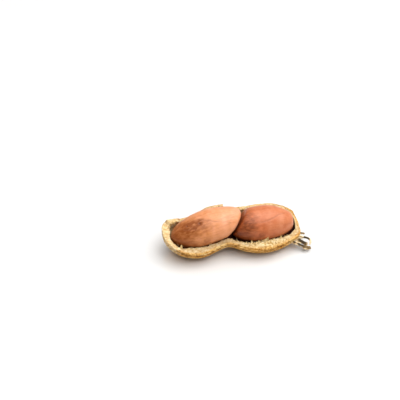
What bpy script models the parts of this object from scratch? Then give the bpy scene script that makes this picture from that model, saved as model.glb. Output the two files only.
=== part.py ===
"""Half of a peanut pod, lying open with its two kernels in it."""
import math

import bmesh
import bpy
from mathutils import Euler, Vector, noise

MM = 0.001

# Half pod, in its own frame: X along the pod, Y across the split, Z out of the hollow
LEFT_REACH = 18.75 * MM
RIGHT_REACH = 19.1 * MM
WALL = 1.1 * MM
LIP = 0.3 * MM
TORN_LIP = 1.2 * MM
TORN_MIDDLE = 10.0 * MM
TORN_REACH = 8.5 * MM
LIP_DEPTH = 2.2 * MM
LEFT_POWER = 3.0
RIGHT_POWER = 3.1
RINGS = 42
SEGMENTS = 48

# Along the pod: place, middle line, width to the front, width to the back, depth, lift of back rim
STATIONS = (
    (-18.75, 1.6, 6.5, 4.4, 6.0, 0.0),
    (-15.0, 0.7, 7.9, 5.1, 6.3, 0.0),
    (-11.0, 0.1, 7.5, 5.9, 6.6, 0.2),
    (-8.0, 0.0, 6.9, 6.7, 6.6, 0.5),
    (-4.5, 0.3, 5.7, 6.4, 5.5, 1.4),
    (-1.0, 0.6, 5.1, 6.1, 4.2, 1.8),
    (3.0, 0.3, 6.5, 6.8, 4.9, 0.8),
    (7.0, 0.0, 7.3, 7.7, 5.6, 0.7),
    (11.0, -0.2, 7.2, 8.4, 5.8, 0.8),
    (14.7, -0.7, 5.8, 8.8, 5.9, 0.5),
    (19.1, -1.6, 2.7, 8.3, 5.6, 0.0),
)

# Raised net on the outside
RIBS = 8
CROSS_PITCH = 3.2 * MM
NET_HEIGHT = 0.30 * MM
PIT_DEPTH = 0.25 * MM

# How the half pod lies on the table
ROLL = math.radians(13.0)
PITCH = math.radians(2.4)
REST_HEIGHT = 5.95 * MM

# Kernels: length, radius, middle point, turn about the seam's normal, rise of the right end
KERNEL_RINGS = 30
KERNEL_SEGMENTS = 24
KERNEL_GAP = 0.45 * MM
LEFT_LENGTH = 21.0 * MM
LEFT_RADIUS = 5.15 * MM
LEFT_MIDDLE = Vector((-6.65, 0.5, 1.2)) * MM
LEFT_TURN = math.radians(8.5)
LEFT_RISE = math.radians(11.0)
LEFT_TAPER = 0.10
RIGHT_LENGTH = 18.4 * MM
RIGHT_RADIUS = 5.05 * MM
RIGHT_MIDDLE = Vector((8.75, 0.7, 1.1)) * MM
RIGHT_TURN = math.radians(2.5)
RIGHT_RISE = math.radians(1.0)
RIGHT_TAPER = -0.02

# Where the kernels face each other: the left one's end bulges towards the right one's flat end
FACING_POINT = Vector((1.95, 0.5, 2.5)) * MM
FACING_NORMAL = Vector((0.86, -0.40, -0.32)).normalized()
FACING_BULGE = 16.0 * MM
FACING_SOFT = 0.8 * MM

# Dry strands of the stalk at the right tip: radius in mm, then points in mm
SHORT_STRAND = (0.42, ((17.0, -1.9, -0.8), (18.6, -2.3, -0.8), (19.6, -2.5, -0.7), (20.2, -2.6, -0.8)))
CURLED_STRAND = (
    0.34,
    ((16.8, -2.8, -1.2), (18.9, -3.3, -1.4), (20.6, -3.7, -1.2), (21.6, -4.5, -1.6), (21.3, -5.4, -2.2)),
)
THICK_STRAND = (0.44, ((16.6, -3.0, -1.4), (18.0, -3.7, -1.7), (19.4, -4.4, -2.2), (20.4, -5.0, -2.4)))
LONG_STRAND = (
    0.34,
    ((15.6, -3.4, -1.6), (17.2, -4.6, -1.8), (18.8, -5.2, -2.2), (20.4, -6.0, -2.7), (21.6, -6.0, -2.8)),
)
STRANDS = (SHORT_STRAND, CURLED_STRAND, THICK_STRAND, LONG_STRAND)

POD_COLOUR = (0.62, 0.34, 0.11)
KERNEL_LEFT_COLOUR = (0.62, 0.24, 0.11)
KERNEL_RIGHT_COLOUR = (0.50, 0.15, 0.06)


def clear_scene():
    """Removes whatever the file starts with."""
    for thing in list(bpy.data.objects):
        bpy.data.objects.remove(thing, do_unlink=True)


def station_value(x, column):
    """Smooth value of one column of the stations at x."""
    place = x / MM
    rows = STATIONS
    if place <= rows[0][0]:
        return rows[0][column] * MM
    if place >= rows[-1][0]:
        return rows[-1][column] * MM
    index = 0
    while place > rows[index + 1][0]:
        index += 1
    before = rows[max(index - 1, 0)]
    start = rows[index]
    end = rows[index + 1]
    after = rows[min(index + 2, len(rows) - 1)]
    span = end[0] - start[0]
    t = (place - start[0]) / span
    slope_start = (end[column] - before[column]) / (end[0] - before[0]) * span
    slope_end = (after[column] - start[column]) / (after[0] - start[0]) * span
    square = t * t
    cube = square * t
    value = (2.0 * cube - 3.0 * square + 1.0) * start[column]
    value += (cube - 2.0 * square + t) * slope_start
    value += (3.0 * square - 2.0 * cube) * end[column]
    value += (cube - square) * slope_end
    return value * MM


def end_round(x):
    """How far the section is drawn in towards the pod's two ends, from 1 to 0."""
    reach = RIGHT_REACH if x > 0.0 else LEFT_REACH
    power = RIGHT_POWER if x > 0.0 else LEFT_POWER
    share = min(abs(x) / reach, 1.0)
    return (1.0 - share ** power) ** (1.0 / power)


def pod_point(x, angle):
    """Point of the pod's wall; angle 0 is the back rim and 180 degrees down to the front rim."""
    across = math.cos(angle)
    width = station_value(x, 3) if across > 0.0 else station_value(x, 2)
    drawn = end_round(x)
    y = station_value(x, 1) + width * drawn * across
    z = -station_value(x, 4) * drawn * math.sin(angle)
    if across > 0.0:
        z += station_value(x, 5) * across ** 4 * drawn
    wave = noise.noise(Vector((x * 260.0, across * 3.0, 1.7)))
    z += 0.35 * MM * wave * across ** 4 * drawn
    return Vector((x, y, z))


def lip_width(x):
    """Extra width of the soft lining at the front rim, widest where it is torn open."""
    share = min(abs(x - TORN_MIDDLE) / TORN_REACH, 1.0)
    return LIP + (TORN_LIP - LIP) * (1.0 - share * share) ** 2


def net_height(x, angle):
    """Height of the net over its pits at one place, from 0 to 1."""
    wander = 0.5 * noise.noise(Vector((x * 110.0, angle * 1.1, 5.1)))
    along = RIBS * angle / math.pi + wander
    cell = math.floor(along)
    rib = (0.5 + 0.5 * math.cos(math.tau * along)) ** 2
    shift = 0.5 * (cell % 2) + 0.3 * noise.noise(Vector((cell * 3.7, 0.5, 2.2)))
    slant = 0.3 * (along - cell - 0.5)
    uneven = 0.3 * noise.noise(Vector((x * 120.0, cell * 2.3, 9.4)))
    cross = x / CROSS_PITCH + shift + slant + uneven
    bar = 0.95 * (0.5 + 0.5 * math.cos(math.tau * cross)) ** 2
    return max(rib, bar)


def eased(value, start, limit):
    """Value that bends over from start so that it never passes the limit."""
    if value <= start:
        return value
    room = limit - start
    return start + room * math.tanh((value - start) / room)


def ring_places(count):
    """Places along the pod at even steps over its rounded ends as well as its sides."""
    samples = 600
    width = 7.0 * MM
    length = 0.0
    marks = [(0.0, -LEFT_REACH)]
    x_before, r_before = -LEFT_REACH, 0.0
    for index in range(1, samples + 1):
        share = 0.5 - 0.5 * math.cos(math.pi * index / samples)
        x = -LEFT_REACH + (LEFT_REACH + RIGHT_REACH) * share
        r = width * end_round(x)
        length += math.hypot(x - x_before, r - r_before)
        marks.append((length, x))
        x_before, r_before = x, r
    places = []
    for index in range(count + 1):
        target = length * index / count
        mark = min(marks, key=lambda entry: abs(entry[0] - target))
        places.append(mark[1])
    return places


def make_material(name, colour, roughness):
    material = bpy.data.materials.new(name)
    material.use_nodes = True
    shader = material.node_tree.nodes["Principled BSDF"]
    shader.inputs["Base Color"].default_value = (*colour, 1.0)
    shader.inputs["Roughness"].default_value = roughness
    shader.inputs["Metallic"].default_value = 0.0
    return material


def finish_object(thing, material, collection, parent):
    """Gives the object its material, collection, parent and smooth shading."""
    thing.data.materials.clear()
    thing.data.materials.append(material)
    for owner in list(thing.users_collection):
        owner.objects.unlink(thing)
    collection.objects.link(thing)
    thing.parent = parent
    thing.data.shade_smooth()


def apply_modifier(thing, name):
    bpy.ops.object.select_all(action="DESELECT")
    thing.select_set(True)
    bpy.context.view_layer.objects.active = thing
    bpy.ops.object.modifier_apply(modifier=name)


def make_half_pod(name):
    """Half a sphere drawn out to the pod's form, given a wall, then netted on the outside."""
    bpy.ops.mesh.primitive_uv_sphere_add(segments=SEGMENTS, ring_count=RINGS, radius=1.0)
    pod = bpy.context.active_object
    pod.name = name
    bm = bmesh.new()
    bm.from_mesh(pod.data)
    for vertex in bm.verts:
        vertex.co = Vector((vertex.co.z, vertex.co.x, vertex.co.y))
    geometry = bm.verts[:] + bm.edges[:] + bm.faces[:]
    bmesh.ops.bisect_plane(
        bm, geom=geometry, dist=1e-6, plane_co=(0, 0, 0), plane_no=(0, 0, 1), clear_outer=True
    )
    places = ring_places(RINGS)
    for vertex in bm.verts:
        place = vertex.co.copy()
        ring = round(RINGS * (0.5 + math.asin(max(-1.0, min(1.0, place.x))) / math.pi))
        angle = math.atan2(max(-place.z, 0.0), place.y) if 0 < ring < RINGS else math.pi / 2.0
        vertex.co = pod_point(places[ring], angle)
    bmesh.ops.recalc_face_normals(bm, faces=bm.faces[:])
    bm.to_mesh(pod.data)
    bm.free()

    outside_count = len(pod.data.vertices)
    wall = pod.modifiers.new("wall", "SOLIDIFY")
    wall.thickness = WALL
    wall.offset = -1.0
    apply_modifier(pod, wall.name)

    # The wall's inner copy follows the outside's vertices, so these come first
    bm = bmesh.new()
    bm.from_mesh(pod.data)
    bm.verts.ensure_lookup_table()
    within = bm.verts.layers.int.new("within")
    for vertex in bm.verts[outside_count:]:
        vertex[within] = 1
        x, y, z = vertex.co
        reach = max(0.0, 1.0 + z / LIP_DEPTH)
        if y < station_value(x, 1) and reach > 0.0:
            vertex.co.y += lip_width(x) * reach * reach * min(1.0, end_round(x) / 0.6)
    edges = [edge for edge in bm.edges if not any(vertex[within] for vertex in edge.verts)]
    bmesh.ops.subdivide_edges(bm, edges=edges, cuts=1, use_grid_fill=True)
    outer = [vertex for vertex in bm.verts if not vertex[within]]
    bm.normal_update()
    down = Euler((ROLL, PITCH, 0.0)).to_matrix().transposed() @ Vector((0.0, 0.0, -1.0))
    moves = {}
    for vertex in outer:
        x, y, z = vertex.co
        angle = math.atan2(max(-z, 0.0), y - station_value(x, 1))
        fade = min(1.0, end_round(x) / 0.85) ** 3
        rise = -PIT_DEPTH + (PIT_DEPTH + NET_HEIGHT) * net_height(x, angle)
        moves[vertex] = vertex.co + vertex.normal * rise * fade
    for vertex, place in moves.items():
        below = place.dot(down) - REST_HEIGHT
        if below > 0.0:
            place -= down * below
        vertex.co = place
    bmesh.ops.triangulate(bm, faces=bm.faces[:])
    bm.to_mesh(pod.data)
    bm.free()
    return pod


def make_strand(radius, points):
    """One dry strand of the stalk as a closed tube with a few sides, thinner towards its end."""
    curve = bpy.data.curves.new("strand", "CURVE")
    curve.dimensions = "3D"
    curve.bevel_depth = 1.0 * MM
    curve.bevel_resolution = 1
    curve.use_fill_caps = True
    spline = curve.splines.new("POLY")
    smooth = []
    path = [Vector(point) * MM for point in points]
    for index in range(len(path) - 1):
        before = path[max(index - 1, 0)]
        after = path[min(index + 2, len(path) - 1)]
        for step in range(3):
            t = step / 3.0
            start = path[index]
            end = path[index + 1]
            pull_start = (end - before) * 0.5
            pull_end = (after - start) * 0.5
            place = (2 * t ** 3 - 3 * t ** 2 + 1) * start + (t ** 3 - 2 * t ** 2 + t) * pull_start
            place += (3 * t ** 2 - 2 * t ** 3) * end + (t ** 3 - t ** 2) * pull_end
            smooth.append(place)
    smooth.append(path[-1])
    spline.points.add(len(smooth) - 1)
    for index, place in enumerate(smooth):
        spline.points[index].co = (*place, 1.0)
        spline.points[index].radius = radius * (1.0 - 0.35 * index / (len(smooth) - 1))
    tube = bpy.data.objects.new("strand", curve)
    bpy.context.scene.collection.objects.link(tube)
    bpy.context.view_layer.update()
    seen = tube.evaluated_get(bpy.context.evaluated_depsgraph_get())
    mesh = bpy.data.meshes.new_from_object(seen)
    solid = bpy.data.objects.new("strand_solid", mesh)
    solid.matrix_world = tube.matrix_world
    bpy.context.scene.collection.objects.link(solid)
    bpy.data.objects.remove(tube, do_unlink=True)
    bm = bmesh.new()
    bm.from_mesh(mesh)
    bmesh.ops.remove_doubles(bm, verts=bm.verts[:], dist=1e-7)
    bmesh.ops.recalc_face_normals(bm, faces=bm.faces[:])
    bm.to_mesh(mesh)
    bm.free()
    return solid


def join_strands(pod, strands, helpers):
    """Grows the strands out of the pod's tip, one Boolean union each."""
    for index, strand in enumerate(strands):
        for owner in list(strand.users_collection):
            owner.objects.unlink(strand)
        helpers.objects.link(strand)
        strand.hide_render = True
        strand.display_type = "WIRE"
        union = pod.modifiers.new(f"strand {index}", "BOOLEAN")
        union.operation = "UNION"
        union.object = strand
        apply_modifier(pod, union.name)
        bpy.data.objects.remove(strand, do_unlink=True)


def hollow_reach(x, column):
    """Reach of the hollow from the middle line at x, with room for the wall and a small gap."""
    step = 0.1 * MM
    here = station_value(x, column) * end_round(x)
    beside = station_value(x + step, column) * end_round(x + step)
    slope = (beside - here) / step
    return max(here - (WALL + KERNEL_GAP) * math.hypot(1.0, slope), 0.3 * MM)


def inside_pod(place):
    """Keeps a kernel's point clear of the hollow's wall."""
    room = (RIGHT_REACH if place.x > 0.0 else LEFT_REACH) - WALL - KERNEL_GAP
    x = math.copysign(eased(abs(place.x), 0.93 * room, room), place.x)
    middle = station_value(x, 1)
    y = place.y - middle
    z = place.z
    depth = hollow_reach(x, 4)
    lift = 0.0
    if y > 0.0:
        width = hollow_reach(x, 3)
        share = min(1.0, y / width)
        lift = station_value(x, 5) * end_round(x) * share ** 4
    else:
        width = hollow_reach(x, 2)
        if z > -LIP_DEPTH:
            width -= lip_width(x) * min(1.0, 1.0 + z / LIP_DEPTH) ** 2
    z -= lift
    if z < 0.0:
        share = max(math.hypot(y / width, z / depth), 1e-6)
        y *= eased(share, 0.8, 1.0) / share
        z *= eased(share, 0.8, 1.0) / share
    else:
        limit = width + z * z / (2.0 * MM)
        y = math.copysign(eased(abs(y), 0.8 * limit, limit), y)
    return Vector((x, middle + y, z + lift))


def make_kernel(name, size, lie, side, powers):
    """Oval seed, blunt where it meets its neighbour, settled into the hollow."""
    length, radius, taper = size
    middle, turn, rise = lie
    bpy.ops.mesh.primitive_uv_sphere_add(segments=KERNEL_SEGMENTS, ring_count=KERNEL_RINGS, radius=1.0)
    kernel = bpy.context.active_object
    kernel.name = name
    place_in_pod = Euler((0.0, -rise, turn)).to_matrix()
    bulge_centre = FACING_POINT - FACING_NORMAL * FACING_BULGE
    bm = bmesh.new()
    bm.from_mesh(kernel.data)
    for vertex in bm.verts:
        along, across, up = vertex.co.z, vertex.co.x, vertex.co.y
        ring = math.hypot(across, up)
        power = powers[0] if along < 0.0 else powers[1]
        swell = (1.0 - abs(along) ** power) ** (1.0 / power)
        scale = radius * swell * (1.0 + taper * along) / ring if ring > 1e-6 else 0.0
        local = Vector((along * length / 2.0, across * scale, up * scale * 0.97))
        place = place_in_pod @ local + middle
        if side > 0.0:
            depth = (place - bulge_centre).length - FACING_BULGE + KERNEL_GAP / 2.0
            outward = (place - bulge_centre).normalized()
        else:
            depth = KERNEL_GAP / 2.0 - (place - FACING_POINT).dot(FACING_NORMAL)
            outward = -FACING_NORMAL
        near_face = (place - FACING_POINT).length < 2.0 * radius
        if near_face and depth > -FACING_SOFT:
            place -= outward * (depth - eased(depth, -FACING_SOFT, 0.0))
        vertex.co = inside_pod(place)
    bmesh.ops.triangulate(bm, faces=bm.faces[:])
    bm.to_mesh(kernel.data)
    bm.free()
    return kernel


def stand_on_table(frame, things):
    """Moves the whole so that the middle of its box's underside is the origin."""
    bpy.context.view_layer.update()
    corners = [thing.matrix_world @ vertex.co for thing in things for vertex in thing.data.vertices]
    low = Vector([min(corner[axis] for corner in corners) for axis in range(3)])
    high = Vector([max(corner[axis] for corner in corners) for axis in range(3)])
    middle = (low + high) / 2.0
    frame.location -= Vector((middle.x, middle.y, low.z))
    bpy.context.view_layer.update()


def build():
    clear_scene()
    scene = bpy.context.scene.collection
    parts = bpy.data.collections.new("peanut")
    helpers = bpy.data.collections.new("helpers")
    scene.children.link(parts)
    scene.children.link(helpers)
    frame = bpy.data.objects.new("pod_frame", None)
    parts.objects.link(frame)
    frame.rotation_euler = (ROLL, PITCH, 0.0)
    frame.location = (0.0, 0.0, REST_HEIGHT)

    pod = make_half_pod("shell_half")
    strands = [make_strand(radius, points) for radius, points in STRANDS]
    join_strands(pod, strands, helpers)
    left_size = (LEFT_LENGTH, LEFT_RADIUS, LEFT_TAPER)
    right_size = (RIGHT_LENGTH, RIGHT_RADIUS, RIGHT_TAPER)
    left_lie = (LEFT_MIDDLE, LEFT_TURN, LEFT_RISE)
    right_lie = (RIGHT_MIDDLE, RIGHT_TURN, RIGHT_RISE)
    left = make_kernel("kernel_left", left_size, left_lie, 1.0, (2.1, 2.5))
    right = make_kernel("kernel_right", right_size, right_lie, -1.0, (2.3, 2.15))
    finish_object(pod, make_material("pod shell", POD_COLOUR, 0.85), parts, frame)
    finish_object(left, make_material("left kernel skin", KERNEL_LEFT_COLOUR, 0.5), parts, frame)
    finish_object(right, make_material("right kernel skin", KERNEL_RIGHT_COLOUR, 0.5), parts, frame)
    stand_on_table(frame, [pod, left, right])


build()
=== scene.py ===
import math
import random

import bmesh
import bpy
from mathutils import Euler, Matrix, Vector, noise
from mathutils.bvhtree import BVHTree


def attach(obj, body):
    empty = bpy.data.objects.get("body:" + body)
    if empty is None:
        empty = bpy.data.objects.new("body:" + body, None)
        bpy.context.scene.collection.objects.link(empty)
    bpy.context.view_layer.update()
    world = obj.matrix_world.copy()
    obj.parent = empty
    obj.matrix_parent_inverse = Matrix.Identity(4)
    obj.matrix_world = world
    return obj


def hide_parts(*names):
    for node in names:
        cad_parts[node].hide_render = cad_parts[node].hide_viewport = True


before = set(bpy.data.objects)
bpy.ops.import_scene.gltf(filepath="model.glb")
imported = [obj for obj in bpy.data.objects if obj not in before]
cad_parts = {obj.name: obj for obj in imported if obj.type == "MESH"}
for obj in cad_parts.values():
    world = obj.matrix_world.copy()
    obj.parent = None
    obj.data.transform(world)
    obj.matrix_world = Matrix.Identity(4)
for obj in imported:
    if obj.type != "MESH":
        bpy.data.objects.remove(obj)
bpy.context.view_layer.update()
mm = 0.001
random.seed(11)

# How the half pod lies on the table. In its own frame X runs along it, Y across the split, Z out of the hollow.
podLie = {
    "roll": math.radians(13.0),
    "pitch": math.radians(2.4),
    "at": Vector((-1.470, -0.216, 5.950)) * mm,
}
podToTable = Matrix.Translation(podLie["at"]) @ Euler((podLie["roll"], podLie["pitch"], 0.0)).to_matrix().to_4x4()


def deselectAll():
    if bpy.context.mode != "OBJECT":
        bpy.ops.object.mode_set(mode="OBJECT")
    bpy.ops.object.select_all(action="DESELECT")


def makeActive(thing):
    deselectAll()
    thing.select_set(True)
    bpy.context.view_layer.objects.active = thing


def editVertices(thing):
    makeActive(thing)
    bpy.ops.object.mode_set(mode="EDIT")
    bpy.ops.mesh.select_mode(type="VERT")
    bpy.ops.mesh.select_all(action="DESELECT")


def pickVertices(thing, chosen):
    mesh = bmesh.from_edit_mesh(thing.data)
    mesh.verts.ensure_lookup_table()
    for vertex in mesh.verts:
        vertex.select = False
    for index in chosen:
        mesh.verts[index].select = True
    mesh.select_flush_mode()
    bmesh.update_edit_mesh(thing.data, loop_triangles=False, destructive=False)


def applyModifier(thing, modifier):
    makeActive(thing)
    bpy.ops.object.modifier_apply(modifier=modifier.name)


def subdivide(thing, levels):
    smoother = thing.modifiers.new("smoother", "SUBSURF")
    smoother.levels = levels
    smoother.render_levels = levels
    applyModifier(thing, smoother)


def displace(thing, name, weights, strength, direction="NORMAL", texture=None):
    held = thing.vertex_groups.new(name=name)
    for index, weight in enumerate(weights):
        if weight > 0.0:
            held.add([index], min(weight, 1.0), "REPLACE")
    push = thing.modifiers.new(name, "DISPLACE")
    push.vertex_group = name
    push.direction = direction
    push.strength = strength
    push.mid_level = 0.0
    if texture:
        push.texture = texture
        push.mid_level = 0.5
    applyModifier(thing, push)
    thing.vertex_groups.clear()


def cloudTexture(name, size, depth=2):
    texture = bpy.data.textures.new(name, "CLOUDS")
    texture.noise_scale = size
    texture.noise_depth = depth
    return texture


def paintAttribute(thing, name, values):
    layer = thing.data.attributes.new(name, "FLOAT", "POINT")
    layer.data.foreach_set("value", values)


def layOnTable(thing):
    thing.matrix_world = podToTable
    makeActive(thing)
    bpy.ops.object.transform_apply(location=True, rotation=True, scale=True)


# The half pod: the CAD's form, netted more finely, with a ragged rim and a papery lining
podForm = {
    "leftReach": 18.75 * mm,
    "rightReach": 19.1 * mm,
    "leftPower": 3.0,
    "rightPower": 3.1,
    "rings": 60,
    "segments": 48,
    "wall": 1.1 * mm,
    "lip": 0.3 * mm,
    "tornLip": 1.2 * mm,
    "tornMiddle": 10.0 * mm,
    "tornReach": 8.5 * mm,
    "lipDepth": 2.2 * mm,
    "tornGap": 0.2 * mm,
    "cushion": 1.0 * mm,
    "rimRows": 5,
    "ribs": 8,
    "crossPitch": 3.2 * mm,
    "netHeight": 0.30 * mm,
    "pitDepth": 0.25 * mm,
    # place along, middle line, width to the front, width to the back, depth, lift of the back rim, all in mm
    "stations": (
        (-18.75, 1.6, 6.5, 4.4, 6.0, 0.0),
        (-15.0, 0.7, 7.9, 5.1, 6.3, 0.0),
        (-11.0, 0.1, 7.5, 5.9, 6.6, 0.2),
        (-8.0, 0.0, 6.9, 6.7, 6.6, 0.5),
        (-4.5, 0.3, 5.7, 6.4, 5.5, 1.4),
        (-1.0, 0.6, 5.1, 6.1, 4.2, 1.8),
        (3.0, 0.3, 6.5, 6.8, 4.9, 0.8),
        (7.0, 0.0, 7.3, 7.7, 5.6, 0.7),
        (11.0, -0.2, 7.2, 8.4, 5.8, 0.8),
        (14.7, -0.7, 5.8, 8.8, 5.9, 0.5),
        (19.1, -1.6, 2.7, 8.3, 5.6, 0.0),
    ),
}


def stationValue(x, column):
    place = x / mm
    rows = podForm["stations"]
    if place <= rows[0][0]:
        return rows[0][column] * mm
    if place >= rows[-1][0]:
        return rows[-1][column] * mm
    index = 0
    while place > rows[index + 1][0]:
        index += 1
    before = rows[max(index - 1, 0)]
    start = rows[index]
    end = rows[index + 1]
    after = rows[min(index + 2, len(rows) - 1)]
    span = end[0] - start[0]
    t = (place - start[0]) / span
    slopeStart = (end[column] - before[column]) / (end[0] - before[0]) * span
    slopeEnd = (after[column] - start[column]) / (after[0] - start[0]) * span
    value = (2.0 * t ** 3 - 3.0 * t ** 2 + 1.0) * start[column] + (t ** 3 - 2.0 * t ** 2 + t) * slopeStart
    value += (3.0 * t ** 2 - 2.0 * t ** 3) * end[column] + (t ** 3 - t ** 2) * slopeEnd
    return value * mm


def endRound(x):
    side = "right" if x > 0.0 else "left"
    share = min(abs(x) / podForm[side + "Reach"], 1.0)
    return (1.0 - share ** podForm[side + "Power"]) ** (1.0 / podForm[side + "Power"])


def rimLift(x, across):
    drawn = endRound(x)
    lift = stationValue(x, 5) * across ** 4 * drawn if across > 0.0 else 0.0
    wave = noise.noise(Vector((x * 260.0, across * 3.0, 1.7)))
    return lift + 0.35 * mm * wave * across ** 4 * drawn


def lipWidth(x):
    share = min(abs(x - podForm["tornMiddle"]) / podForm["tornReach"], 1.0)
    return podForm["lip"] + (podForm["tornLip"] - podForm["lip"]) * (1.0 - share * share) ** 2


def netHeight(x, angle):
    # lengthwise ribs, and slanting bars between them, some of them faint
    wander = 0.5 * noise.noise(Vector((x * 110.0, angle * 1.1, 5.1)))
    along = podForm["ribs"] * angle / math.pi + wander
    cell = math.floor(along)
    rib = (0.5 + 0.5 * math.cos(math.tau * along)) ** 2
    shift = 0.5 * (cell % 2) + 0.3 * noise.noise(Vector((cell * 3.7, 0.5, 2.2)))
    slant = 0.3 * (along - cell - 0.5)
    uneven = 0.3 * noise.noise(Vector((x * 120.0, cell * 2.3, 9.4)))
    cross = x / podForm["crossPitch"] + shift + slant + uneven
    strength = 0.75 + 0.6 * noise.noise(Vector((math.floor(cross + 0.5) * 1.7, cell * 2.9, 4.4)))
    bar = max(0.2, min(1.0, strength)) * (0.5 + 0.5 * math.cos(math.tau * cross)) ** 3
    return rib, bar


def shapePodRings(half):
    # each ring of the sphere is drawn to the pod's width and depth at its place
    count = podForm["rings"]
    reach = (podForm["leftReach"] + podForm["rightReach"]) / 2
    centre = (podForm["rightReach"] - podForm["leftReach"]) / 2
    editVertices(half)
    mesh = bmesh.from_edit_mesh(half.data)
    rings = {}
    for vertex in mesh.verts:
        ring = round(count * math.acos(max(-1.0, min(1.0, (centre - vertex.co.x) / reach))) / math.pi)
        rings.setdefault(ring, []).append((vertex.index, vertex.co.y))
    for ring, members in rings.items():
        x = centre - reach * math.cos(math.pi * ring / count)
        radius = reach * math.sin(math.pi * ring / count)
        if radius > 1e-6:
            drawn = endRound(x) / radius
            pickVertices(half, [index for index, y in members])
            bpy.ops.transform.resize(value=(1, 1, stationValue(x, 4) * drawn), center_override=(x, 0, 0))
            pickVertices(half, [index for index, y in members if y < 0.0])
            bpy.ops.transform.resize(value=(1, stationValue(x, 2) * drawn, 1), center_override=(x, 0, 0))
            pickVertices(half, [index for index, y in members if y > 0.0])
            bpy.ops.transform.resize(value=(1, stationValue(x, 3) * drawn, 1), center_override=(x, 0, 0))
        pickVertices(half, [index for index, y in members])
        bpy.ops.transform.translate(value=(0, stationValue(x, 1), 0))
    bpy.ops.object.mode_set(mode="OBJECT")


def liftPodRim(half):
    for vertex in half.data.vertices:
        x, y, z = vertex.co
        offset = y - stationValue(x, 1)
        width = stationValue(x, 3 if offset > 0.0 else 2) * endRound(x)
        across = max(-1.0, min(1.0, offset / width)) if width > 1e-6 else 0.0
        vertex.co.z += rimLift(x, across)


def addPodHalf():
    deselectAll()
    bpy.ops.mesh.primitive_uv_sphere_add(
        segments=podForm["segments"],
        ring_count=podForm["rings"],
        radius=(podForm["leftReach"] + podForm["rightReach"]) / 2,
        location=((podForm["rightReach"] - podForm["leftReach"]) / 2, 0, 0),
        rotation=(0, math.radians(90), 0),
    )
    half = bpy.context.active_object
    half.name = "podHalf"
    bpy.ops.object.transform_apply(location=True, rotation=True, scale=False)
    editVertices(half)
    bpy.ops.mesh.select_all(action="SELECT")
    bpy.ops.mesh.bisect(plane_co=(0, 0, 0), plane_no=(0, 0, 1), clear_outer=True, threshold=1e-6)
    bpy.ops.object.mode_set(mode="OBJECT")
    shapePodRings(half)
    liftPodRim(half)
    subdivide(half, 2)

    outsideCount = len(half.data.vertices)
    wall = half.modifiers.new("wall", "SOLIDIFY")
    wall.thickness = podForm["wall"]
    wall.offset = -1.0
    applyModifier(half, wall)

    # the lining is thicker at the torn front rim
    thicker = [0.0] * len(half.data.vertices)
    for vertex in half.data.vertices[outsideCount:]:
        x, y, z = vertex.co
        reach = max(0.0, 1.0 + z / podForm["lipDepth"])
        if y < stationValue(x, 1):
            thicker[vertex.index] = lipWidth(x) / podForm["tornLip"] * reach * reach * min(1.0, endRound(x) / 0.6)
    displace(half, "lip", thicker, podForm["tornLip"], direction="Y")

    # rows across the rim, between the outside (0) and the lining (1)
    paintAttribute(half, "inward", [float(index >= outsideCount) for index in range(len(half.data.vertices))])
    editVertices(half)
    bpy.ops.mesh.select_mode(type="EDGE")
    mesh = bmesh.from_edit_mesh(half.data)
    for edge in mesh.edges:
        sides = [vertex.index < outsideCount for vertex in edge.verts]
        edge.select = sides[0] != sides[1]
    bmesh.update_edit_mesh(half.data)
    bpy.ops.mesh.subdivide(number_cuts=podForm["rimRows"])
    bpy.ops.object.mode_set(mode="OBJECT")
    return half


def ramp(value, start, end):
    share = max(0.0, min(1.0, (value - start) / (end - start)))
    return share * share * (3.0 - 2.0 * share)


def kernelSurface(node):
    # a CAD kernel in the half pod's own frame, to measure how far away it lies
    tableToPod = podToTable.inverted()
    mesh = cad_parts[node].data
    return BVHTree.FromPolygons(
        [tableToPod @ vertex.co for vertex in mesh.vertices], [list(face.vertices) for face in mesh.polygons]
    )


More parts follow.
